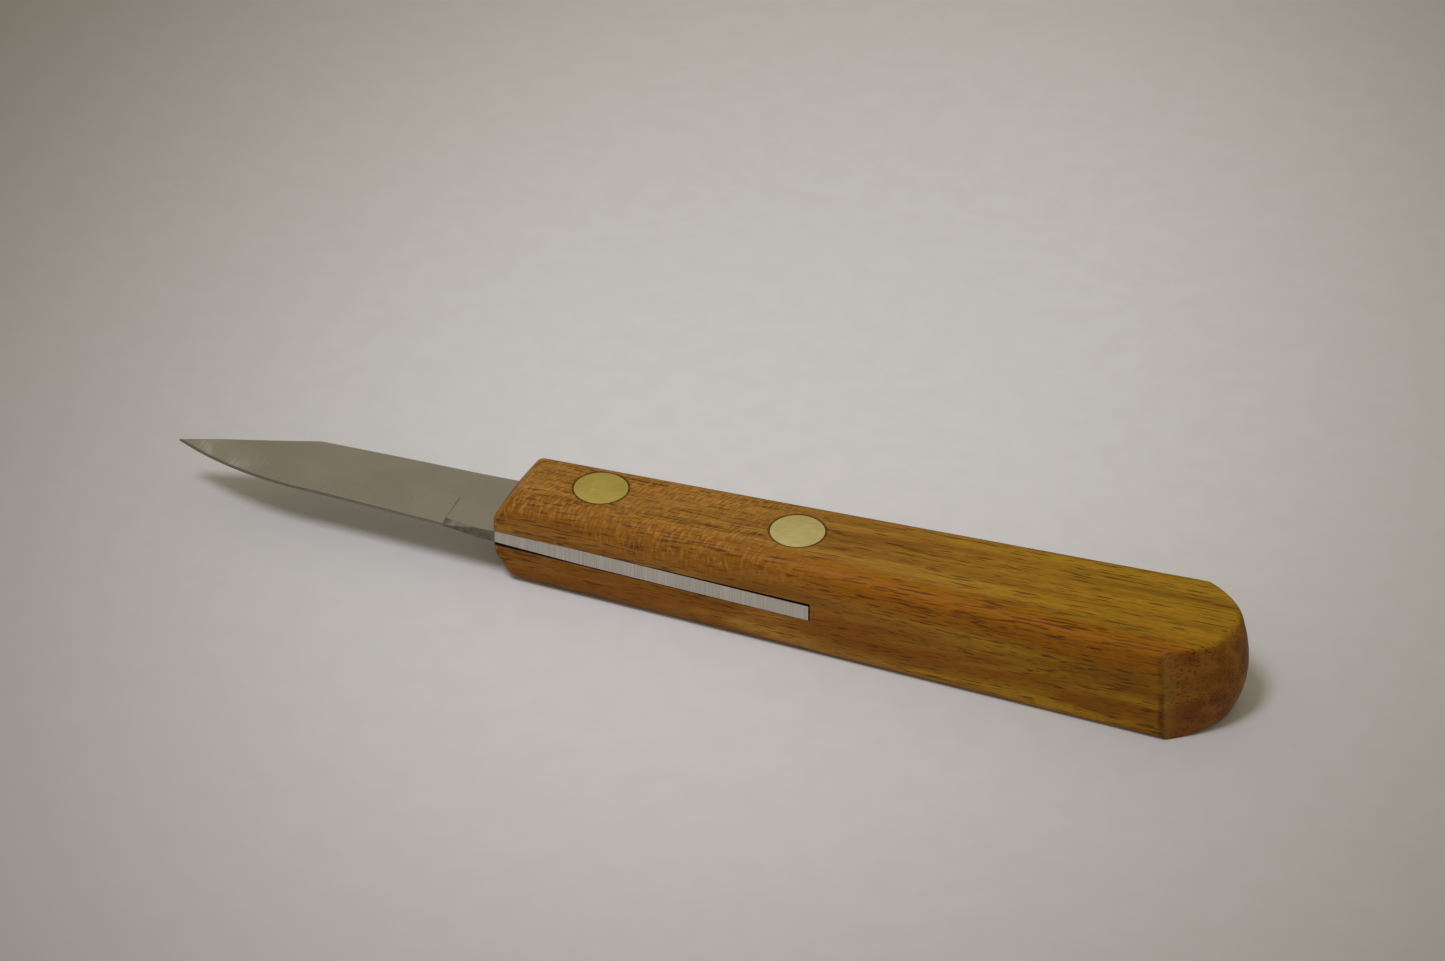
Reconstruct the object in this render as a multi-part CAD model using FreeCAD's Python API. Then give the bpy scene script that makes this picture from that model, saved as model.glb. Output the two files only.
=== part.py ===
"""Fixed-blade bench knife: a half-tang steel blade in a slotted one-piece hardwood handle.

Two flush cutler's rivets, each of two halves, hold the blade. The knife lies on its side, in millimetres:
X runs along it, with the tip at -X and the butt at +X;
Y runs across the blade, with the cutting edge towards -Y and the spine towards +Y;
Z runs through its thickness, and Z = 0 is the handle's lower face.
The origin is under the middle of the bounding box.
"""
import FreeCAD
import Part

import math
import os

from FreeCAD import Vector

# ---- driving dimensions: handle ----
OVERALL_LENGTH = 165.3          # tip to butt, 6 1/2 in
HANDLE_LENGTH = 112.95
HANDLE_THICKNESS = 15.0
# Where a value has two sides, -1 is the cutting edge's side and 1 the spine's.
NOSE_HALF = {-1: 6.5, 1: 7.15}  # from the centre line to either side, at the nose
CREASE_HALF = 9.7               # the same on both sides, where the rounded end begins
BUTT_ROUND = 10.2               # length of the rounded end, on the handle's middle plane
BUTT_BULGE_LOWER = 2.0          # how far the middle of the rounded end stands out past its lower edge
BUTT_BULGE_UPPER = 1.6
BUTT_EDGE_RADIUS = 1.2          # between the rounded end and the flat faces
# Its outline, in shares of its length and of half the width: it leaves the edge side at a crease, and runs
# smoothly into the spine side, which it meets a share of its length further forward.
BUTT_PLAN = [(0.33, -0.84), (0.68, -0.61), (1.0, 0.0), (0.8, 0.59), (0.56, 0.79), (0.3, 0.92), (0.06, 0.985)]
BUTT_START_SPINE = -0.22
BUTT_LEAN = 1.1                 # the rounded end begins this much further back on the lower face
NOSE_SLOPE_LENGTH = 4.6         # the sloped front end, along the handle and through its thickness
NOSE_SLOPE_HEIGHT = 6.6
NOSE_TOP_RADIUS = 3.5           # where the slopes turn into the flat faces
NOSE_SWEEP_START = 0.5          # height over the centre line from which the front end curves back
NOSE_SWEEP_RADIUS = 15.0
NOSE_CORNER_RADIUS = 2.0        # of the nose's upright corner under the spine
NOSE_EDGE_RADIUS = 1.0          # of the edges that are left round the front end
NOSE_EDGE_SHARP = 12.0          # degrees between two faces above which such an edge is rounded
LONG_EDGE_NOSE = {-1: 2.7, 1: 4.0}    # the long edges are sanded round at the nose, far less at the butt
LONG_EDGE_CREASE = {-1: 1.3, 1: 1.1}
PLANED_OFF = 0.02               # taken off both flat faces after the long edges are rounded

# ---- driving dimensions: slot and tang ----
SLOT_FLOOR = 6.0                # height of the slot's lower wall, which runs straight
SLOT_WIDTH_REAR = 2.9
SLOT_END_GAP = 0.25             # left behind the tang
TANG_LENGTH = 50.9              # inside the handle
TANG_THICKNESS = 2.42
TANG_TAPER_LENGTH = 15.5        # behind the nose, over which the tang thins
NOSE_THICKNESS = 1.75           # where the steel leaves the handle
HEEL_THICKNESS = 1.4            # at the heel of the edge
TIP_THICKNESS = 0.9             # of the flats at the tip, before grinding
TANG_TILT = 0.3                 # degrees that the steel rises towards the tip in its slot
TANG_FLUSH = 0.02               # between the tang and the wood's surface, and the slot's walls

# ---- driving dimensions: blade ----
SPINE_AT_CLIP = 6.3             # the spine's height over the centre line where the clip begins
SPINE_STEP = 0.35               # the spine lies this far under the wood at the nose
SPINE_CROWN = 0.15              # the spine's rise above a straight line
CLIP_LENGTH = 20.4              # the clip, from the tip back to the spine
CLIP_HOLLOW = 0.2               # the clip's sag below a straight line
TIP_HEIGHT = -0.25              # the point, from the centre line
HEEL_SETBACK = 6.4              # unground ricasso in front of the handle
EDGE_AT_HEEL = -6.6
EDGE_AT_BELLY = -5.65
BELLY_LENGTH = 24.7             # the curved part of the edge, along the blade
BELLY_POINT = (8.0, -3.35)      # a point of the belly, from the tip along the blade and from the centre line
GRIND_LINE = 0.2                # the upper end of the main bevels, from the centre line at the heel
GRIND_WIDTH_TIP = 3.0           # width of the bevels at the tip
EDGE_THICKNESS = 0.26           # at the cutting edge
HEEL_RUN = 5.6                  # behind the heel, over which grinding off the ricasso's corners runs out
HEEL_WIDTH = 1.1                # how far up the ricasso that reaches at the heel
HEEL_END = 0.05                 # what is still ground off where it runs out

# ---- driving dimensions: rivets ----
RIVET_HEAD_DIAMETER = 7.94      # 5/16 in
RIVET_HEAD_THICKNESS = 1.7
RIVET_FRONT_SETBACK = 15.8      # front rivet's axis behind the nose
RIVET_SPACING = 30.4
RIVET_OFFSETS = [0.45, 0.27]    # front and rear rivet, towards the spine
TUBE_DIAMETER = 4.76            # 3/16 in
POST_DIAMETER = 3.2
POST_LEAD = 0.4                 # chamfer on the post's tip
HEAD_CLEARANCE = 0.08           # radial, round the heads in the wood
SHANK_CLEARANCE = 0.1           # radial, round the tube in wood and steel
TUBE_END_GAP = 0.4              # between the tube's rim and the post's head
BORE_END_GAP = 0.6              # between the post's tip and the bottom of the tube's bore

# ---- places that follow from them ----
TIP_X = -OVERALL_LENGTH / 2
BUTT_X = OVERALL_LENGTH / 2
NOSE_X = BUTT_X - HANDLE_LENGTH
CREASE_X = BUTT_X - BUTT_ROUND
HEEL_X = NOSE_X - HEEL_SETBACK
CLIP_X = TIP_X + CLIP_LENGTH
BELLY_X = TIP_X + BELLY_LENGTH
TANG_END_X = NOSE_X + TANG_LENGTH
TAPER_END_X = NOSE_X + TANG_TAPER_LENGTH
MID_Z = HANDLE_THICKNESS / 2
RIVET_X = [NOSE_X + RIVET_FRONT_SETBACK, NOSE_X + RIVET_FRONT_SETBACK + RIVET_SPACING]

# ---- how finely curved parts are taken, and the tools' reach ----
BUTT_STEPS = 6                  # heights taken through each edge of the rounded end, and between them
BEVEL_STEPS = 12                # sections taken along the main bevels
CLEAR = 5.0                     # how far cutting tools reach past the part
FAR_Y = CREASE_HALF + CLEAR     # beyond the handle's sides
UP = Vector(0, 0, 1)


def line(start, end):
    return Part.LineSegment(Vector(*start), Vector(*end)).toShape()


def arc(start, middle, end):
    return Part.Arc(Vector(*start), Vector(*middle), Vector(*end)).toShape()


def prism(edges, along):
    """A solid from the edges of a closed flat outline, pushed along a vector."""
    return Part.Face(Part.Wire(edges)).extrude(Vector(*along))


def polygon(points):
    return [line(start, end) for start, end in zip(points, points[1:] + points[:1])]


def side_y(x, side):
    """The handle's side at x: both sides run straight and spread towards the butt."""
    share = (x - NOSE_X) / (CREASE_X - NOSE_X)
    return side * (NOSE_HALF[side] + share * (CREASE_HALF - NOSE_HALF[side]))


def long_edge_radius(x, side):
    share = (x - NOSE_X) / (CREASE_X - NOSE_X)
    return LONG_EDGE_NOSE[side] + share * (LONG_EDGE_CREASE[side] - LONG_EDGE_NOSE[side])


def half_thickness(x):
    """Half the steel's thickness at x: full at the tang's rear, thinner to the nose, thinnest at the tip."""
    stations = [(TIP_X, TIP_THICKNESS), (HEEL_X, HEEL_THICKNESS), (NOSE_X, NOSE_THICKNESS),
                (TAPER_END_X, TANG_THICKNESS), (TANG_END_X, TANG_THICKNESS)]
    for (low_x, low), (high_x, high) in zip(stations, stations[1:]):
        if x <= high_x:
            return (low + (x - low_x) / (high_x - low_x) * (high - low)) / 2
    return TANG_THICKNESS / 2


def steel_z(x):
    """Height of the steel's middle plane at x: the tang's rear end rests on the slot's lower wall."""
    rest = SLOT_FLOOR + TANG_FLUSH + TANG_THICKNESS / 2
    return rest + (TANG_END_X - x) * math.tan(math.radians(TANG_TILT))


# ---- handle ----
def rounded_section(x):
    """The handle's cross-section at x, a rectangle with rounded corners."""
    edges = []
    joints = []
    low, high = -PLANED_OFF, HANDLE_THICKNESS + PLANED_OFF
    for side, z, in_z in ((-1, low, 1), (1, low, 1), (1, high, -1), (-1, high, -1)):
        y, in_y = side_y(x, side), -side
        radius = long_edge_radius(x, side)
        inset = radius * (1 - math.sqrt(0.5))
        beside = (x, y, z + in_z * radius)
        above = (x, y + in_y * radius, z)
        middle = (x, y + in_y * inset, z + in_z * inset)
        joints.append((beside, middle, above) if in_y * in_z > 0 else (above, middle, beside))
    for index, (start, middle, end) in enumerate(joints):
        edges.append(arc(start, middle, end))
        edges.append(line(end, joints[(index + 1) % 4][0]))
    return Part.Wire(edges)


def tapered_bar():
    """A straight-sided bar whose four long edges are rounder at the nose than at the butt."""
    return Part.makeLoft([rounded_section(NOSE_X), rounded_section(BUTT_X + CLEAR)], True, True)


def butt_outline(z):
    """The plan outline at height z: straight sides, and the rounded end, domed and with rounded edges."""
    bulge = BUTT_BULGE_UPPER if z > MID_Z else BUTT_BULGE_LOWER
    bulge_radius = (MID_Z ** 2 + bulge ** 2) / (2 * bulge)
    lost = bulge_radius - math.sqrt(bulge_radius ** 2 - (z - MID_Z) ** 2)
    into_edge = max(0.0, BUTT_EDGE_RADIUS - min(z, HANDLE_THICKNESS - z))
    lost += BUTT_EDGE_RADIUS - math.sqrt(BUTT_EDGE_RADIUS ** 2 - into_edge ** 2)
    begin = CREASE_X + BUTT_LEAN * (1 - z / HANDLE_THICKNESS)
    length = BUTT_X - lost - begin
    begin_spine = begin + BUTT_START_SPINE * length
    points = [(begin, side_y(begin, -1))]
    points += [(begin + along * length, across * CREASE_HALF) for along, across in BUTT_PLAN]
    points.append((begin_spine, side_y(begin_spine, 1)))
    curve = Part.BSplineCurve()
    curve.interpolate([Vector(x, y, z) for x, y in points])
    front = NOSE_X - CLEAR
    stops = [points[-1], (begin_spine, FAR_Y), (front, FAR_Y), (front, -FAR_Y), (begin, -FAR_Y), points[0]]
    sides = [line((*start, z), (*end, z)) for start, end in zip(stops, stops[1:])]
    return Part.Wire([curve.toShape()] + sides)


def butt_shape():
    """Straight between close heights, which lie closer together where the end rounds into the flat faces."""
    turns = [math.radians(90 * step / BUTT_STEPS) for step in range(BUTT_STEPS)]
    near = [BUTT_EDGE_RADIUS * (1 - math.cos(turn)) for turn in turns]
    span = HANDLE_THICKNESS - 2 * BUTT_EDGE_RADIUS
    middle = [BUTT_EDGE_RADIUS + span * step / BUTT_STEPS for step in range(BUTT_STEPS + 1)]
    heights = near + middle + [HANDLE_THICKNESS - z for z in reversed(near)]
    return Part.makeLoft([butt_outline(z) for z in heights], True, True)


def nose_shape():
    """The side view: a sloped front end with an arc into each flat face."""
    angle = math.atan2(NOSE_SLOPE_HEIGHT, NOSE_SLOPE_LENGTH)
    reach = NOSE_TOP_RADIUS * math.tan(angle / 2)
    top_x = NOSE_X + NOSE_SLOPE_LENGTH
    rear_x = BUTT_X + CLEAR
    upper = []
    for side in (1, -1):
        face = MID_Z + side * MID_Z
        foot = (NOSE_X, 0, face - side * NOSE_SLOPE_HEIGHT)
        begin = (top_x - reach * math.cos(angle), 0, face - side * reach * math.sin(angle))
        end = (top_x + reach, 0, face)
        centre = (top_x + reach, face - side * NOSE_TOP_RADIUS)
        turn = math.radians(90) + angle / 2
        middle = (centre[0] + NOSE_TOP_RADIUS * math.cos(turn), 0,
                  centre[1] + side * NOSE_TOP_RADIUS * math.sin(turn))
        upper.append((foot, begin, middle, end, (rear_x, 0, face)))
    top, bottom = upper
    edges = [line(bottom[0], top[0])]
    for foot, begin, middle, end, rear in upper:
        edges += [line(foot, begin), arc(begin, middle, end), line(end, rear)]
    edges.append(line(top[4], bottom[4]))
    outline = Part.Wire(Part.sortEdges(edges)[0])
    solid = Part.Face(outline).extrude(Vector(0, 2 * FAR_Y, 0))
    solid.translate(Vector(0, -FAR_Y, 0))
    return solid


def nose_sweep_x(y):
    """Where the swept front end lies at y, on the edge side of where the sweep starts."""
    return NOSE_X + NOSE_SWEEP_RADIUS - math.sqrt(NOSE_SWEEP_RADIUS ** 2 - (NOSE_SWEEP_START - y) ** 2)


def nose_sweep():
    """What sanding takes off the front end on the edge side: a long sweep."""
    low, middle = side_y(NOSE_X, -1) - CLEAR / 2, (NOSE_SWEEP_START + side_y(NOSE_X, -1)) / 2
    start = (NOSE_X, NOSE_SWEEP_START, 0)
    end = (nose_sweep_x(low), low, 0)
    edges = [arc(start, (nose_sweep_x(middle), middle, 0), end), line(end, (NOSE_X - CLEAR, low, 0)),
             line((NOSE_X - CLEAR, low, 0), (NOSE_X - CLEAR, NOSE_SWEEP_START, 0)),
             line((NOSE_X - CLEAR, NOSE_SWEEP_START, 0), start)]
    return prism(edges, (0, 0, HANDLE_THICKNESS))


def nose_corner():
    """What sanding takes off the front end's upright corner under the spine."""
    radius = NOSE_CORNER_RADIUS
    corner_y = side_y(NOSE_X, 1)
    inset = radius * (1 - math.sqrt(0.5))
    on_front = (NOSE_X, corner_y - radius, 0)
    on_side = (NOSE_X + radius, side_y(NOSE_X + radius, 1), 0)
    outer = [(NOSE_X + radius, corner_y + CLEAR, 0), (NOSE_X - CLEAR, corner_y + CLEAR, 0),
             (NOSE_X - CLEAR, corner_y - radius, 0)]
    edges = [arc(on_front, (NOSE_X + inset, corner_y - inset, 0), on_side), line(on_side, outer[0]),
             line(outer[0], outer[1]), line(outer[1], outer[2]), line(outer[2], on_front)]
    return prism(edges, (0, 0, HANDLE_THICKNESS))


def sharp_nose_edges(solid):
    """The edges round the front end at which two faces meet sharply."""
    sharp = []
    for edge in solid.Edges:
        if edge.BoundBox.XMax > NOSE_X + 2 * NOSE_SLOPE_LENGTH:
            continue
        point = edge.valueAt((edge.FirstParameter + edge.LastParameter) / 2)
        faces = solid.ancestorsOfType(edge, Part.Face)
        normals = [face.normalAt(*face.Surface.parameter(point)) for face in faces]
        if math.degrees(normals[0].getAngle(normals[1])) > NOSE_EDGE_SHARP:
            sharp.append(edge)
    return sharp


def slot():
    """The saw slot: its lower wall is straight, its upper one is drawn down onto the tang's thin end."""
    front, rear = NOSE_X - CLEAR, TANG_END_X + SLOT_END_GAP
    nose_top, shoulder_top = [steel_z(x) + half_thickness(x) + TANG_FLUSH for x in (NOSE_X, TAPER_END_X)]
    drop = (shoulder_top - nose_top) / TANG_TAPER_LENGTH * CLEAR
    outline = [(front, SLOT_FLOOR), (rear, SLOT_FLOOR), (rear, SLOT_FLOOR + SLOT_WIDTH_REAR),
               (TAPER_END_X, shoulder_top), (front, nose_top - drop)]
    solid = prism(polygon([(x, 0, z) for x, z in outline]), (0, 2 * FAR_Y, 0))
    solid.translate(Vector(0, -FAR_Y, 0))
    return solid


def upright(radius, low, high, index):
    """A cylinder on a rivet's axis."""
    return Part.makeCylinder(radius, high - low, Vector(RIVET_X[index], RIVET_OFFSETS[index], low), UP)


def rivet_holes(index):
    """One through hole for the tube, with a counterbore for a head on either face."""
    shank = upright(TUBE_DIAMETER / 2 + SHANK_CLEARANCE, -CLEAR, HANDLE_THICKNESS + CLEAR, index)
    head = RIVET_HEAD_DIAMETER / 2 + HEAD_CLEARANCE
    lower = upright(head, -CLEAR, RIVET_HEAD_THICKNESS, index)
    upper = upright(head, HANDLE_THICKNESS - RIVET_HEAD_THICKNESS, HANDLE_THICKNESS + CLEAR, index)
    return [shank, lower, upper]


def handle():
    solid = tapered_bar().common(butt_shape()).common(nose_shape()).cut(nose_sweep()).cut(nose_corner())
    solid = solid.makeFillet(NOSE_EDGE_RADIUS, sharp_nose_edges(solid))
    for tool in [slot()] + rivet_holes(0) + rivet_holes(1):
        solid = solid.cut(tool)
    return solid


# ---- blade ----
def plan_outline():
    """The blade and tang seen from above, at z = 0: the tang is ground flush with the wood on both sides."""
    tip = (TIP_X, TIP_HEIGHT, 0)
    clip = (CLIP_X, SPINE_AT_CLIP, 0)
    clip_middle = ((TIP_X + CLIP_X) / 2, (TIP_HEIGHT + SPINE_AT_CLIP) / 2 - CLIP_HOLLOW, 0)
    nose_spine = (NOSE_X + NOSE_CORNER_RADIUS, side_y(NOSE_X + NOSE_CORNER_RADIUS, 1) - SPINE_STEP, 0)
    spine_middle = ((clip[0] + nose_spine[0]) / 2, (clip[1] + nose_spine[1]) / 2 + SPINE_CROWN, 0)
    rear_high = (TANG_END_X, side_y(TANG_END_X, 1) - TANG_FLUSH, 0)
    rear_low = (TANG_END_X, side_y(TANG_END_X, -1) + TANG_FLUSH, 0)
    belly = (BELLY_X, EDGE_AT_BELLY, 0)
    belly_middle = (TIP_X + BELLY_POINT[0], BELLY_POINT[1], 0)
    heel = (HEEL_X, EDGE_AT_HEEL, 0)
    nose_x = nose_sweep_x(EDGE_AT_HEEL)
    nose_edge = (nose_x, max(EDGE_AT_HEEL, side_y(nose_x, -1) + TANG_FLUSH), 0)
    return [arc(tip, clip_middle, clip), arc(clip, spine_middle, nose_spine), line(nose_spine, rear_high),
            line(rear_high, rear_low), line(rear_low, nose_edge), line(nose_edge, heel), line(heel, belly),
            arc(belly, belly_middle, tip)]


def steel_profile():
    """The blade and tang seen from the side: how their thickness changes along the knife."""
    stations = [TIP_X, HEEL_X, NOSE_X, TAPER_END_X, TANG_END_X]
    upper = [(x, 0, steel_z(x) + half_thickness(x)) for x in stations]
    lower = [(x, 0, steel_z(x) - half_thickness(x)) for x in reversed(stations)]
    solid = prism(polygon(upper + lower), (0, 2 * FAR_Y, 0))
    solid.translate(Vector(0, -FAR_Y, 0))
    return solid


def edge_height(x):
    """The cutting edge's height over the centre line at x, as the outline has it."""
    if x >= BELLY_X:
        share = (x - BELLY_X) / (HEEL_X - BELLY_X)
        return EDGE_AT_BELLY + share * (EDGE_AT_HEEL - EDGE_AT_BELLY)
    belly = Part.Circle(Vector(BELLY_X, EDGE_AT_BELLY, 0), Vector(TIP_X + BELLY_POINT[0], BELLY_POINT[1], 0),
                        Vector(TIP_X, TIP_HEIGHT, 0))
    return belly.Center.y - math.sqrt(belly.Radius ** 2 - (x - belly.Center.x) ** 2)


def ground_off(x, side, width, left):
    """What grinding takes off one face at x, over a width from the edge; left stays beside the middle."""
    edge = edge_height(min(x, HEEL_X))
    rise = (half_thickness(x) - left) / width
    past = CLEAR / 2
    middle = steel_z(x)
    outside = middle + side * (half_thickness(x) + rise * past)
    low = (x, edge - past, middle + side * (left - rise * past))
    high = (x, edge + width + past, outside)
    outer = (x, edge - past, outside)
    return Part.Wire(polygon([low, high, outer]))


def bevel_section(x, side):
    """The main bevel at x, which is wider towards the heel."""
    share = min(1.0, (x - TIP_X) / (HEEL_X - TIP_X))
    full = GRIND_LINE - EDGE_AT_HEEL
    width = GRIND_WIDTH_TIP + (full - GRIND_WIDTH_TIP) * math.sqrt(share)
    return ground_off(x, side, width, EDGE_THICKNESS / 2)


def bevel_scrap(side):
    """The steel ground away on one face, from past the tip back to the plunge line."""
    stations = [TIP_X + (HEEL_X - TIP_X) * step / BEVEL_STEPS for step in range(BEVEL_STEPS + 1)]
    return Part.makeLoft([bevel_section(x, side) for x in stations], True, False)


def heel_scrap(side):
    """The ricasso's corner on one face, as thin as the edge at the heel and running out behind it."""
    start = ground_off(HEEL_X, side, HEEL_WIDTH, EDGE_THICKNESS / 2)
    end_x = HEEL_X + HEEL_RUN
    end = ground_off(end_x, side, HEEL_END, half_thickness(end_x) - HEEL_END)
    return Part.makeLoft([start, end], True, True)


def blade():
    solid = prism(plan_outline(), (0, 0, HANDLE_THICKNESS)).common(steel_profile())
    for side in (-1, 1):
        solid = solid.cut(bevel_scrap(side)).cut(heel_scrap(side))
    bore = TUBE_DIAMETER / 2 + SHANK_CLEARANCE
    for index in (0, 1):
        solid = solid.cut(upright(bore, -CLEAR, HANDLE_THICKNESS + CLEAR, index))
    return solid


# ---- rivets ----
def rivet_socket(index):
    """The upper half: a flush head with a tube below it."""
    under_head = HANDLE_THICKNESS - RIVET_HEAD_THICKNESS
    head = upright(RIVET_HEAD_DIAMETER / 2, under_head, HANDLE_THICKNESS, index)
    tube = upright(TUBE_DIAMETER / 2, RIVET_HEAD_THICKNESS + TUBE_END_GAP, under_head, index)
    bore = upright(POST_DIAMETER / 2, -CLEAR, under_head, index)
    return head.fuse(tube).cut(bore).removeSplitter()


def rivet_post(index):
    """The lower half: a flush head with a solid post that is pressed into the tube."""
    head = upright(RIVET_HEAD_DIAMETER / 2, 0, RIVET_HEAD_THICKNESS, index)
    top = HANDLE_THICKNESS - RIVET_HEAD_THICKNESS - BORE_END_GAP
    shank = upright(POST_DIAMETER / 2, RIVET_HEAD_THICKNESS, top - POST_LEAD, index)
    centre = Vector(RIVET_X[index], RIVET_OFFSETS[index], top - POST_LEAD)
    lead = Part.makeCone(POST_DIAMETER / 2, POST_DIAMETER / 2 - POST_LEAD, POST_LEAD, centre, UP)
    return head.fuse(shank).fuse(lead).removeSplitter()


def main():
    os.makedirs("parts", exist_ok=True)
    parts = {"handle": handle(), "blade": blade()}
    for index, place in enumerate(("front", "rear")):
        parts[place + "_rivet_socket"] = rivet_socket(index)
        parts[place + "_rivet_post"] = rivet_post(index)
    for name, shape in parts.items():
        box = shape.optimalBoundingBox()
        print(name, "valid", shape.isValid(), "solids", len(shape.Solids), "volume", round(shape.Volume, 1),
              "x", round(box.XMin, 2), round(box.XMax, 2), "y", round(box.YMin, 2), round(box.YMax, 2),
              "z", round(box.ZMin, 2), round(box.ZMax, 2))
        shape.exportStep("parts/" + name + ".step")


main()
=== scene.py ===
import math

import bpy
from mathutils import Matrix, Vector


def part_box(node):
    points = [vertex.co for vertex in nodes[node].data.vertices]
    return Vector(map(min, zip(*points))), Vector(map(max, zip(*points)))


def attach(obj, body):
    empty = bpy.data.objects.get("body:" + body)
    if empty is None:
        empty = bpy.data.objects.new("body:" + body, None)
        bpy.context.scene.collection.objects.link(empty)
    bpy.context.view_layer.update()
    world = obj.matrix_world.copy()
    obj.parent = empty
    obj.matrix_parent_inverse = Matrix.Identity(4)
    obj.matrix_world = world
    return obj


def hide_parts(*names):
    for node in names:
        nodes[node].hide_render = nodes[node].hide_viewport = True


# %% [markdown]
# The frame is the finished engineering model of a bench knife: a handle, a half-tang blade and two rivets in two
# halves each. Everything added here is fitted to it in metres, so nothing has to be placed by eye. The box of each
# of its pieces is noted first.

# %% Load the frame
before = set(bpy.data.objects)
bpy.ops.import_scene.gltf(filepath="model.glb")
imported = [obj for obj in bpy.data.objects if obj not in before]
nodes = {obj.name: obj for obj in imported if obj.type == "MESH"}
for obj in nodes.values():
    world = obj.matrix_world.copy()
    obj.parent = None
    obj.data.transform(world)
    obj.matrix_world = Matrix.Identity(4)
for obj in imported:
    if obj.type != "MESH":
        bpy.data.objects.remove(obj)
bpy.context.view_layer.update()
MM = 0.001
for name in sorted(nodes):
    low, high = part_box(name)
    print(name, "from", [round(v / MM, 1) for v in low], "to", [round(v / MM, 1) for v in high])

# %% [markdown]
# Operators act on whatever is selected, so each piece is selected alone before it is worked on. The small helpers
# below do that, and pick faces by a test on where they lie or which way they face. Picking by place keeps working
# when a size changes, which picking by number would not.


# %% Selecting helpers
def only(piece):
    bpy.ops.object.select_all(action="DESELECT")
    piece.select_set(True)
    bpy.context.view_layer.objects.active = piece


def pick(piece, test):
    """Selects the piece's faces that pass the test and leaves edit mode on. Returns how many passed."""
    only(piece)
    bpy.ops.object.mode_set(mode="EDIT")
    bpy.ops.mesh.select_mode(type="FACE")
    bpy.ops.mesh.select_all(action="DESELECT")
    bpy.ops.object.mode_set(mode="OBJECT")
    chosen = 0
    for face in piece.data.polygons:
        face.select = test(face)
        chosen += face.select
    bpy.ops.object.mode_set(mode="EDIT")
    return chosen


def every_face(face):
    return True


def done():
    bpy.ops.object.mode_set(mode="OBJECT")


print("selecting helpers ready")

# %% [markdown]
# The engineering model is made of loose triangles, which cannot be bevelled. A copy is welded at its shared corners
# and the flat triangles are dissolved into large faces, which leaves only true edges. The original stays untouched.

# %% Welded copies
WELD_DISTANCE = 0.001 * MM
FLAT_ANGLE = math.radians(0.4)


def welded_copy(node, name):
    piece = nodes[node].copy()
    piece.data = nodes[node].data.copy()
    piece.name = piece.data.name = name
    piece.parent = None
    for key in list(piece.keys()):
        del piece[key]
    piece.data.materials.clear()
    bpy.context.scene.collection.objects.link(piece)
    pick(piece, every_face)
    bpy.ops.mesh.remove_doubles(threshold=WELD_DISTANCE)
    bpy.ops.mesh.dissolve_limited(angle_limit=FLAT_ANGLE)
    done()
    return piece


print("corners closer than", WELD_DISTANCE / MM, "mm are welded")

# %% [markdown]
# No real corner is perfectly sharp, and a broken corner catches the light. A bevel modifier limited by angle rounds
# the corners and leaves the soft curves alone. Shading by angle then makes the curves smooth and the flats flat.


# %% Broken corners and smooth curves
def break_corners(piece, width, segments, sharper_than):
    """Bevels every edge at which the faces turn by more than sharper_than, in degrees."""
    bevel = piece.modifiers.new("broken corners", "BEVEL")
    bevel.width = width
    bevel.segments = segments
    bevel.limit_method = "ANGLE"
    bevel.angle_limit = math.radians(sharper_than)
    only(piece)
    bpy.ops.object.modifier_apply(modifier=bevel.name)


def smooth_curves(piece, softer_than):
    only(piece)
    bpy.ops.object.shade_smooth_by_angle(angle=math.radians(softer_than))


def report(piece):
    corners = [vertex.co / MM for vertex in piece.data.vertices]
    spans = [(round(min(c[i] for c in corners), 2), round(max(c[i] for c in corners), 2)) for i in range(3)]
    print(piece.name, len(piece.data.polygons), "faces,", spans)


print("corner helpers ready")

# %% [markdown]
# The handle is one piece of tropical hardwood, sawn, shaped on a belt and sanded by hand. Sanding takes the edge off
# every corner: a few tenths of a millimetre round the slot and the butt. The engineering model has those corners
# crisp, so a bevel rounds just them. Remeshing would soften them too, but it would also blur the saw slot and the
# rivet seats.

# %% Handle
ARRIS = 0.22 * MM
handle = welded_copy("handle", "handle_wood")
break_corners(handle, ARRIS, segments=3, sharper_than=38)
smooth_curves(handle, softer_than=30)
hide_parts("handle")
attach(handle, "root")
report(handle)

# %% [markdown]
# The blade, its ricasso and its half tang are one strip of hardened steel. Its two main bevels are ground on a belt,
# and a narrow rim along the cutting edge is honed. An inset of the bevels' faces makes that rim as real geometry, so
# it follows the curve of the edge exactly. A painted line would have to be told that curve.

# %% Blade
HEEL_X, NOSE_X = -36.7 * MM, -30.3 * MM
HONED_WIDTH = 0.3 * MM
blade = welded_copy("blade", "blade_steel")


def on_main_bevel(face):
    """The main bevels lean a little towards the edge: they are neither quite flat nor upright."""
    return face.center.x < HEEL_X and 0.93 < abs(face.normal.z) < 0.9999 and face.normal.y < 0


print(pick(blade, on_main_bevel), "faces on the main bevels")
bpy.ops.mesh.inset(thickness=HONED_WIDTH, use_boundary=True)
done()
print(len(blade.data.polygons), "faces after the inset")

# %% [markdown]
# The inset leaves a rim all round the bevels, but only the part along the edge was honed. A rim face belongs to it
# when it shares two corners with the faces that look down past the edge. Each face gets the number of its finish
# now, while the faces are easy to tell apart. The corners are only just broken, so their bevel is very narrow. The
# blade keeps its flat shading, because smooth shading across its long faces would show as cloudy patches.

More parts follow.
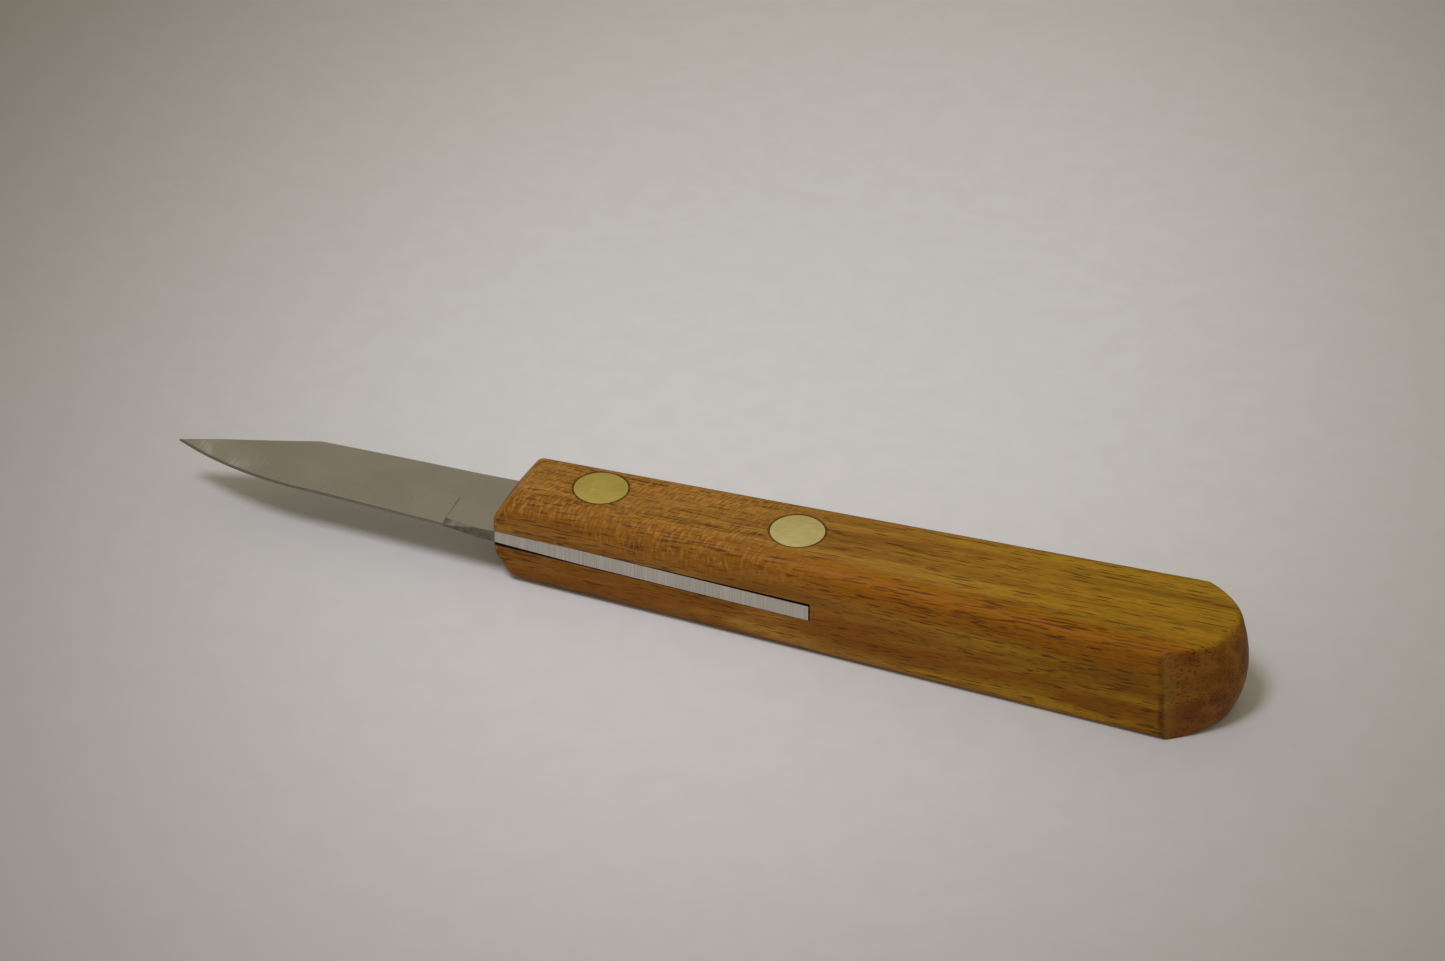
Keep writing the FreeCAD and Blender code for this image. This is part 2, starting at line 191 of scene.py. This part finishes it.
# %% Finish of each face, and broken corners
GROUND, BELT, HONED, DARKER = range(4)
RIM_FACE_AREA = 12 * MM ** 2
DEBURR = 0.06 * MM
edge_corners = set()
for face in blade.data.polygons:
    if face.center.x < HEEL_X and abs(face.normal.z) < 0.5 and face.normal.y < -0.3:
        edge_corners.update(face.vertices)
for face in blade.data.polygons:
    sideways = abs(face.normal.z) < 0.5
    at_edge = face.center.x < HEEL_X and sum(corner in edge_corners for corner in face.vertices) >= 2
    if HEEL_X <= face.center.x < NOSE_X and face.normal.y < -0.1:
        face.material_index = DARKER
    elif at_edge and (sideways or face.area < RIM_FACE_AREA):
        face.material_index = HONED
    else:
        face.material_index = BELT if sideways else GROUND
print([sum(face.material_index == i for face in blade.data.polygons) for i in range(4)], "faces by finish")
break_corners(blade, DEBURR, segments=2, sharper_than=50)
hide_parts("blade")
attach(blade, "root")
report(blade)

# %% [markdown]
# Each rivet has two brass halves. The socket is a flush head with a tube, the post a flush head with a pin that is
# pressed into the tube. A half is turned from bar, so it is modelled from a filled circle: extruded to a disc, inset
# and extruded again for the shank. The heads are sanded level with the wood, which leaves the rim only just rounded.

# %% One rivet half
HEAD_RADIUS, HEAD_THICKNESS, TUBE_RADIUS, POST_RADIUS = 3.97 * MM, 1.7 * MM, 2.38 * MM, 1.6 * MM
ROUND_STEPS = 96


def grow(distance):
    bpy.ops.mesh.extrude_region_move(TRANSFORM_OT_translate={"value": (0, 0, distance)})


def rivet_half(node, side):
    """side is 1 for the half on the upper face and -1 for the lower one. The shank runs the other way."""
    low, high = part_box(node)
    middle = (low + high) / 2
    face_z = high.z if side > 0 else low.z
    shank_length = high.z - low.z - HEAD_THICKNESS
    shank_radius = TUBE_RADIUS if side > 0 else POST_RADIUS
    bpy.ops.object.select_all(action="DESELECT")
    bpy.ops.mesh.primitive_circle_add(vertices=ROUND_STEPS, radius=HEAD_RADIUS, fill_type="NGON",
                                      location=(middle.x, middle.y, face_z))
    piece = bpy.context.object
    piece.name = piece.data.name = node + "_brass"
    bpy.ops.object.transform_apply(location=True, rotation=True, scale=True)
    pick(piece, every_face)
    grow(-side * HEAD_THICKNESS)
    bpy.ops.mesh.inset(thickness=HEAD_RADIUS - shank_radius, use_boundary=True)
    grow(-side * shank_length)
    if side > 0:
        bpy.ops.mesh.inset(thickness=TUBE_RADIUS - POST_RADIUS, use_boundary=True)
        grow(side * shank_length)
    done()
    pick(piece, every_face)
    bpy.ops.mesh.normals_make_consistent(inside=False)
    done()
    return piece


print("rivet heads", round(2 * HEAD_RADIUS / MM, 2), "mm across")

# %% Rivets
RIM = 0.02 * MM
rivets = []
for place in ("front", "rear"):
    for half, side in (("socket", 1), ("post", -1)):
        node = place + "_rivet_" + half
        piece = rivet_half(node, side)
        break_corners(piece, RIM, segments=3, sharper_than=60)
        smooth_curves(piece, softer_than=35)
        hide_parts(node)
        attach(piece, "root")
        report(piece)
        rivets.append(piece)

# %% [markdown]
# A material is a small graph of nodes. One helper adds a node with its settings and links, and one turns hex colours,
# which are sRGB, into the linear values the shader works in. Every pattern is laid out in millimetres: the Object
# coordinates are metres, so they are turned and enlarged a thousand times first, and then divided by the pattern's
# size. Two Mapping nodes do that, because one alone would scale before it turns.


# %% Node helpers
def linear(hex_colour):
    channels = [int(hex_colour[i:i + 2], 16) / 255 for i in (1, 3, 5)]
    return tuple(c / 12.92 if c <= 0.04045 else ((c + 0.055) / 1.055) ** 2.4 for c in channels) + (1.0,)


def add(material, kind, inputs, **settings):
    """Adds a node. inputs maps a socket to a value, to another node, or to one of its outputs."""
    node = material.node_tree.nodes.new("ShaderNode" + kind)
    for key, value in settings.items():
        setattr(node, key, value)
    for key, value in inputs.items():
        if isinstance(value, bpy.types.Node):
            value = value.outputs[0]
        if isinstance(value, bpy.types.NodeSocket):
            material.node_tree.links.new(value, node.inputs[key])
        else:
            node.inputs[key].default_value = value
    return node


def new_material(name):
    material = bpy.data.materials.new(name)
    material.use_nodes = True
    material.node_tree.nodes.clear()
    return material


def millimetres(material, size=(1, 1, 1), turn=(0, 0, 0), shift=(0, 0, 0)):
    """Object coordinates in which one unit is size millimetres long along X, Y and Z, after turning."""
    place = add(material, "TexCoord", {}).outputs["Object"]
    turned = add(material, "Mapping", {"Vector": place, "Rotation": turn, "Scale": [1 / MM] * 3})
    return add(material, "Mapping", {"Vector": turned, "Location": shift, "Scale": [1 / side for side in size]})


def finish(material, shader):
    add(material, "OutputMaterial", {"Surface": shader})
    print(material.name, len(material.node_tree.nodes), "nodes")


print("node helpers ready")

# %% [markdown]
# Real finishes are built up in layers: a ground colour, then streaks, dirt or wear where certain things hold. So a
# colour here is a ground and a list of layers. A layer is seen where all its windows are open. A window opens softly
# as its source, a pattern or a coordinate, goes from one value to another. Most values of a noise pattern lie between
# 0.3 and 0.7, so a window on a pattern opens within that range.

# %% Layers of colour
EASED = {"interpolation_type": "SMOOTHSTEP"}
TIMES, PLUS = {"operation": "MULTIPLY"}, {"operation": "ADD"}
CLOSED, OPEN = 0.0, 1.0


def layered(material, ground, layers):
    """Lays tints over the ground. A window is its source, the source's values where it is closed and where it is
    open, and, if they are not 0 and 1, how much it lets through at each."""
    for tint, windows in layers:
        tint = linear(tint) if isinstance(tint, str) else tint
        share = None
        for source, closed_at, open_at, *lets_through in windows:
            least, most = lets_through or (CLOSED, OPEN)
            window = add(material, "MapRange", {0: source, 1: closed_at, 2: open_at, 3: least, 4: most}, **EASED)
            share = add(material, "Math", {0: share, 1: window}, **TIMES) if share else window
        ground = add(material, "Mix", {0: share, 6: ground, 7: tint}, data_type="RGBA").outputs[2]
    return ground


print("layers ready")

# %% [markdown]
# The handle's wood is a dense, reddish tropical hardwood, sanded along the grain and given a thin satin finish. Its
# look comes from marks at several scales: soft bands some millimetres wide, long dark pores 0.3 mm wide, finer
# pores, fibres, and ribbons of short bars where the grain interlocks, whose bright bars are partly painted sheen. All
# are made in three dimensions and stretched along the knife, so the end of the handle shows the same pores cut
# across, as real end grain does. Real fibres are too fine to show, so they are drawn 0.09 mm thick.

# %% Wood: places and patterns
wood = new_material("tropical_hardwood_sanded_and_lacquered")
x, y, z = add(wood, "SeparateXYZ", {0: millimetres(wood)}).outputs
GRAIN, STRAIGHT, LEANING = (0, math.radians(1.5), math.radians(-2.0)), (0, 0, 0), (0, 0, math.radians(20))
HERE = (0, 0, 0)
WOOD_PATTERNS = {  # size in millimetres, turn, shift, settings of the noise
    "bands": ((50, 2.2, 2.2), GRAIN, HERE, {"Detail": 4.0, "Roughness": 0.6, "Distortion": 0.5}),
    "red heart": ((38, 4.5, 4.5), GRAIN, (3.1, 0, 0), {"Detail": 3.0, "Distortion": 0.6}),
    "mottle": ((4, 2.2, 2.2), STRAIGHT, (2, 2, 9), {"Detail": 3.0}),
    "crowding": ((30, 4, 4), GRAIN, (0, 5, 0), {"Detail": 1.0}),
    "long pores": ((5.0, 0.3, 0.26), GRAIN, HERE, {"Detail": 1.0}),
    "fine pores": ((2.2, 0.17, 0.17), GRAIN, (7, 3, 1), {"Detail": 1.0}),
    "fibres": ((1.6, 0.09, 0.09), GRAIN, HERE, {"Detail": 2.0}),
    "ribbons and sheen": ((0.36, 1.5, 1.5), LEANING, HERE, {"Detail": 2.0}),
    "blotches": ((3, 3, 3), STRAIGHT, HERE, {"Detail": 2.0}),
}
marks = {}
for name, (size, turn, shift, noise) in WOOD_PATTERNS.items():
    marks[name] = add(wood, "TexNoise", {"Vector": millimetres(wood, size, turn, shift), "Scale": 1.0, **noise})
print(len(marks), "patterns in the wood")

# %% [markdown]
# Pores are not spread evenly. They crowd in some growth zones and leave others clear, so a slow pattern is added to
# the pore patterns before their peaks are cut off. Two more sources are sums as well: one drifts across the handle
# for the orange band along its edge side, and one leans like the crease at the butt.

# %% Wood: sources that are sums
CREASE_LEAN = 1.1 / 15
SUMS = {"long pores": (marks["long pores"], marks["crowding"], 0.22),
        "fine pores": (marks["fine pores"], marks["crowding"], 0.1),
        "edge side": (y, x, 0.03), "crease": (x, z, CREASE_LEAN)}
sums = {}
for name, (first, second, share) in SUMS.items():
    sums[name] = add(wood, "Math", {0: first, 1: add(wood, "Math", {0: second, 1: share}, **TIMES)}, **PLUS)
print(len(sums), "sources worked out")

# %% [markdown]
# The heartwood shifts from reddish brown at the nose to golden at the butt. The lower half is redder, and an orange
# band runs along the edge side. The rounded end shows end grain, which drinks more finish and is darker and mottled.

# %% Wood: bands and heart
to_butt = (x, 0, 72)
to_bench = (z, 13.5, 8.0)
to_top = (z, 9.5, 12.5)
off_the_top_face = (z, 14.95, 14.3)
pale = layered(wood, linear("#b98639"), [("#b88b1c", [to_butt])])
deep = layered(wood, linear("#8d5d20"), [("#916712", [to_butt])])
end_tone = layered(wood, linear("#6d3414"), [("#8f5726", [(marks["mottle"], 0.35, 0.65)])])
colour = layered(wood, deep, [
    (pale, [(marks["bands"], 0.3, 0.7)]),
    ("#87500f", [(marks["red heart"], 0.38, 0.6, 0.1, 0.9), to_bench]),
    ("#a66203", [(sums["edge side"], -3.2, -6.2), to_top, (x, 0, 35, 0.35, 0.8)]),
    (end_tone, [(x, 72.4, 76.5, 0.0, 0.7), off_the_top_face]),
])
print("wood so far", len(wood.node_tree.nodes), "nodes")

# %% [markdown]
# Pores and fibres are darker than the wood round them. Where the grain interlocks, sanding cuts across it and leaves
# short bright and dark bars, most of them near the nose and high on the side. The bright bars are partly grain and
# partly painted sheen.

# %% Wood: pores, fibres, and ribbons with painted sheen
LONG_PORES = (sums["long pores"], 0.69, 0.78)
figure_and_sheen = [(x, 26, 4), (z, 9, 13), (marks["red heart"], 0.35, 0.6, 0.15, 1.0)]
colour = layered(wood, colour, [
    ("#57300e", [(sums["fine pores"], 0.6, 0.72, 0.0, 0.34)]),
    ("#3d200d", [(*LONG_PORES, 0.0, 0.68)]),
    ("#5f3611", [(marks["fibres"], 0.35, 0.75, 0.0, 0.25)]),
    # bright bars: ribbon figure, partly painted sheen
    ("#cc8f3c", [(marks["ribbons and sheen"], 0.5, 0.66, 0.0, 0.5)] + figure_and_sheen),
    ("#6a3b10", [(marks["ribbons and sheen"], 0.5, 0.34, 0.0, 0.4)] + figure_and_sheen),
])
print("wood so far", len(wood.node_tree.nodes), "nodes")

# %% [markdown]
# The rivet seats are a little wider than the heads, so the gap round each head lies in shade. That shade is painted
# into the wood as a dark ring. A distance with its height taken out makes the ring a tube round the rivet's axis.

# %% Wood: painted shade round the rivets
SEAT_RADIUS, SHADE_RING_RADIUS = 4.1, 4.45
FLAT = (1, 1, 1e6)
for rivet in rivets[::2]:
    corners = [vertex.co / MM for vertex in rivet.data.vertices]
    axis = [(min(c[i] for c in corners) + max(c[i] for c in corners)) / 2 for i in range(2)]
    offset = add(wood, "VectorMath", {0: millimetres(wood, FLAT), 1: (*axis, 0)}, operation="SUBTRACT")
    radius = add(wood, "VectorMath", {0: offset}, operation="LENGTH").outputs["Value"]
    # a dark ring of painted shade round the rivet head
    colour = layered(wood, colour, [("#3a1f0c", [(radius, SHADE_RING_RADIUS, SEAT_RADIUS, 0.0, 0.75)])])
    print("ring round", [round(v, 2) for v in axis])

# %% [markdown]
# The crease where the rounded end begins has a dark line, mottled and strongest near the bench, beside a paler strip
# where hands have worn the corner. Both are kept to the edge side, because the other side has no crease. The wood's
# surface is satin, and its pores are pits, which the bump shows as shallow grooves.

# %% Wood: crease and surface
CREASE = 73.55
on_edge_side = (y, -8.3, -8.9)
colour = layered(wood, colour, [
    ("#86683a", [(sums["crease"], CREASE, CREASE + 0.9), (sums["crease"], CREASE + 3.4, CREASE + 1.0, 0.0, 0.3),
                 on_edge_side]),
    # a dark line along the crease, mottled and darker towards the bench
    ("#3a220f", [(sums["crease"], CREASE - 0.7, CREASE + 0.1), (sums["crease"], CREASE + 0.8, CREASE + 0.2),
                 on_edge_side, (marks["blotches"], 0.3, 0.6), (z, 15, 2, 0.3, 0.75)]),
])
source, closed_at, open_at = LONG_PORES
pits = add(wood, "MapRange", {0: source, 1: closed_at, 2: open_at, 3: 0.0, 4: -1.0}, **EASED)
ridges = add(wood, "Math", {0: marks["fibres"], 1: 0.35}, **TIMES)
height = add(wood, "Math", {0: pits, 1: ridges}, **PLUS)
rough = add(wood, "MapRange", {0: marks["crowding"], 1: 0.3, 2: 0.7, 3: 0.52, 4: 0.62}, **EASED)
bump = add(wood, "Bump", {"Strength": 0.35, "Distance": 0.04 * MM, "Height": height})
finish(wood, add(wood, "BsdfPrincipled", {
    "Base Color": colour, "Roughness": rough, "Specular IOR Level": 0.1, "Coat Weight": 0.02,
    "Coat Roughness": 0.3, "Normal": bump}))
handle.data.materials.append(wood)

# %% [markdown]
# Inside the slot the wood is as the saw left it: rough and without finish. Its near-black tone is painted shade, the
# shade deep in the narrow slot. It gets its own material, given to the slot's walls and its end, which are found by
# their height and by the way they face.

# %% Sawn wood in the slot, painted dark with shade
SLOT_LOW, SLOT_HIGH, SLOT_END = 5.9 * MM, 9.0 * MM, 20.0 * MM
sawn = new_material("hardwood_saw_cut_painted_shade")
kerf = add(sawn, "TexNoise", {"Vector": millimetres(sawn, (0.5, 4.0, 0.3)), "Scale": 1.0, "Detail": 2.0})
# near-black tones: painted shade inside the slot
tone = layered(sawn, linear("#3a2110"), [("#22130a", [(kerf, 0.3, 0.7)])])
finish(sawn, add(sawn, "BsdfPrincipled", {"Base Color": tone, "Roughness": 0.9}))
handle.data.materials.append(sawn)
for face in handle.data.polygons:
    within = SLOT_LOW < face.center.z < SLOT_HIGH and face.center.x < SLOT_END + MM
    wall = abs(face.normal.z) > 0.9
    end = face.normal.x < -0.9 and face.center.x > SLOT_END
    face.material_index = int(within and (wall or end))
print(sum(face.material_index for face in handle.data.polygons), "faces in the slot")

# %% [markdown]
# The blade is stainless tool steel, ground on a fine belt across its width. The belt leaves hair-thin lines that show
# only as a slight streakiness. Real ones are too fine to show, so they are drawn 0.14 mm wide. The back and the
# tang's edges were ground across their thickness with a coarser belt, the edge was honed, and the ricasso's lower
# corner is darker, with dark blotches. One function makes all four, because they differ only in tint, gloss and
# lines. On the flats, a thin dark line of painted shade marks the plunge line at the heel.

# %% Steel
PLUNGE = -36.75


def steel(name, tint, roughness, line_size, streak, shaded_plunge=False):
    """Ground steel. line_size is the size of its lines in millimetres, and streak is how strongly they show."""
    material = new_material(name)
    lines = add(material, "TexNoise", {"Vector": millimetres(material, line_size), "Scale": 1.0, "Detail": 2.0})
    clouds = add(material, "TexNoise", {"Vector": millimetres(material, (9, 7, 7)), "Scale": 1.0, "Detail": 2.0})
    layers = [("#4e4a42", [(lines, 0.3, 0.7, 0.0, streak)]), ("#6b655a", [(clouds, 0.35, 0.75, 0.0, 0.12)])]
    # painted shade in the plunge line at the heel
    if shaded_plunge:
        place = add(material, "SeparateXYZ", {0: millimetres(material)}).outputs
        layers.append(("#4b463b", [(place["X"], PLUNGE - 0.35, PLUNGE - 0.05),
                                   (place["X"], PLUNGE + 0.3, PLUNGE, 0.0, 0.45), (place["Y"], 0.6, -1.0)]))
    rough = add(material, "MapRange", {0: lines, 1: 0.3, 2: 0.7, 3: roughness - 0.06, 4: roughness + 0.08}, **EASED)
    bump = add(material, "Bump", {"Strength": 0.06, "Distance": 0.005 * MM, "Height": lines})
    finish(material, add(material, "BsdfPrincipled", {
        "Base Color": layered(material, linear(tint), layers), "Metallic": 1.0, "Roughness": rough,
        "Normal": bump}))
    return material


finishes = {
    GROUND: steel("stainless_steel_ground_across", "#c6bfb7", 0.31, (0.14, 6.0, 3.0), 0.05, shaded_plunge=True),
    BELT: steel("stainless_steel_belt_ground_edges", "#d2ccc2", 0.45, (0.08, 5.0, 9.0), 0.24),
    HONED: steel("stainless_steel_honed", "#8f8a82", 0.36, (0.2, 3.0, 3.0), 0.2),
    # a darker tint with dark blotches for the ricasso's lower corner
    DARKER: steel("stainless_steel_darker", "#7a7566", 0.45, (1.1, 1.1, 1.1), 0.45),
}
for number in sorted(finishes):
    blade.data.materials.append(finishes[number])

# %% [markdown]
# The rivets are cartridge brass, sanded flush together with the wood. Sanding leaves fine scratches in one main
# direction, and handling dulls the metal to a greenish yellow, more on the front rivet than on the rear one. The
# scratches of fine paper would not show, so they are drawn 0.1 mm wide.

# %% Brass
brass = new_material("brass_sanded_flush")
BRASS_PATTERNS = {  # size in millimetres, turn, detail
    "scratches": ((3.0, 0.1, 0.1), math.radians(-24), 3.0),
    "cross scratches": ((0.12, 2.2, 2.2), math.radians(8), 2.0),
    "clouds": ((2.4, 2.4, 2.4), 0, 2.0),
}
worn = {}
for name, (size, turn, detail) in BRASS_PATTERNS.items():
    space = millimetres(brass, size, (0, 0, turn))
    worn[name] = add(brass, "TexNoise", {"Vector": space, "Scale": 1.0, "Detail": detail})
to_rear = (add(brass, "SeparateXYZ", {0: millimetres(brass)}), -8, 10)
clean = layered(brass, linear("#eed97c"), [("#fdf0b0", [to_rear])])
dull = layered(brass, linear("#c6b552"), [("#ddcc82", [to_rear])])
shade = layered(brass, clean, [(dull, [(worn["scratches"], 0.35, 0.7, 0.0, 0.6)]),
                               (dull, [(worn["clouds"], 0.35, 0.7, 0.0, 0.3)])])
rough = add(brass, "MapRange", {0: worn["cross scratches"], 1: 0.3, 2: 0.7, 3: 0.46, 4: 0.58}, **EASED)
bump = add(brass, "Bump", {"Strength": 0.3, "Distance": 0.008 * MM, "Height": worn["scratches"]})
finish(brass, add(brass, "BsdfPrincipled", {
    "Base Color": shade, "Metallic": 1.0, "Roughness": rough, "Normal": bump}))
for piece in rivets:
    piece.data.materials.append(brass)

# %% [markdown]
# The knife lies on a plain, off-white sheet. Its colour is painted darker slowly away from the knife: a painted pool
# of light, as under a lamp that lights only the middle of a table. A distance in stretched coordinates makes that a
# long oval.

# %% Floor
VIEW_TURN = math.radians(20.7)
POOL_SIZE, POOL_PLACE = (118, 215, 1), (20, 92, 0)
bpy.ops.object.select_all(action="DESELECT")
bpy.ops.mesh.primitive_plane_add(size=3.0, location=(0, 0, 0))
floor = bpy.context.object
floor.name = floor.data.name = "floor"
paper = new_material("matt_paper")
speckle = add(paper, "TexNoise", {"Vector": millimetres(paper, (5, 5, 5)), "Scale": 1.0, "Detail": 4.0})
to_knife = [-place / size for place, size in zip(POOL_PLACE, POOL_SIZE)]
pool = millimetres(paper, POOL_SIZE, (0, 0, -VIEW_TURN), to_knife)
away = add(paper, "VectorMath", {0: pool}, operation="LENGTH").outputs["Value"]
# the darker tint far from the knife is a painted pool of light
tone = layered(paper, linear("#e7e6e5"), [("#e4e3e1", [(speckle, 0.3, 0.7)]), ("#a39f9b", [(away, 0.3, 1.7)])])
finish(paper, add(paper, "BsdfPrincipled", {"Base Color": tone, "Roughness": 0.8}))
floor.data.materials.append(paper)

# %% [markdown]
# The light is a soft lamp high up in front of the knife and to its left, with a pale room round it. The lamp gives
# the blade its soft shadow, and the room lights the sides. A bluish lamp in a yellowish room makes the lit sheet a
# neutral white, and leaves the shadows a little warm.

# %% Room and lamp
ROOM_COLOUR, ROOM_STRENGTH = (1.0, 0.93, 0.7, 1.0), 0.34
LAMP_COLOUR, LAMP_WATTS, LAMP_RADIUS = (0.88, 0.875, 1.0), 14.3, 0.13
LAMP_CONE = math.radians(26)
LAMP_PLACE, LIT_SPOT = Vector((-0.126, -0.283, 0.75)), Vector((-0.006, 0.025, 0.0))
scene = bpy.context.scene
world = bpy.data.worlds.new("pale_room")
scene.world = world
world.use_nodes = True
world.node_tree.nodes["Background"].inputs["Color"].default_value = ROOM_COLOUR
world.node_tree.nodes["Background"].inputs["Strength"].default_value = ROOM_STRENGTH
lamp_data = bpy.data.lights.new("soft_lamp", "SPOT")
lamp_data.color = LAMP_COLOUR
lamp_data.energy = LAMP_WATTS
lamp_data.shadow_soft_size = LAMP_RADIUS
lamp_data.spot_size = LAMP_CONE
lamp_data.spot_blend = 1.0
lamp = bpy.data.objects.new("soft_lamp", lamp_data)
lamp.location = LAMP_PLACE
lamp.scale = (1.0, 1.6, 1.0)
lamp.rotation_euler = (LIT_SPOT - LAMP_PLACE).to_track_quat("-Z", "Y").to_euler()
lamp.rotation_euler.rotate_axis("Z", VIEW_TURN)
scene.collection.objects.link(lamp)
print("lamp", round((LIT_SPOT - LAMP_PLACE).length, 3), "m from the spot it lights")

# %% [markdown]
# The camera stands about two thirds of a metre away with a long lens, as for a small object on a table. A long lens
# from further off keeps the handle's edges almost parallel.

# %% Camera
CAMERA_PLACE = Vector((192.942, -497.976, 382.554)) * MM
LOOKS_ALONG = Vector((-0.292802, 0.773853, -0.561622))
camera_data = bpy.data.cameras.new("camera")
camera_data.lens = 112.11
camera_data.sensor_width = 36.0
camera_data.clip_start = 0.01
camera = bpy.data.objects.new("camera", camera_data)
camera.location = CAMERA_PLACE
camera.rotation_euler = LOOKS_ALONG.to_track_quat("-Z", "Y").to_euler()
scene.collection.objects.link(camera)
scene.camera = camera
scene.view_settings.view_transform = "Standard"
print("camera", round(CAMERA_PLACE.length, 3), "m from the origin")
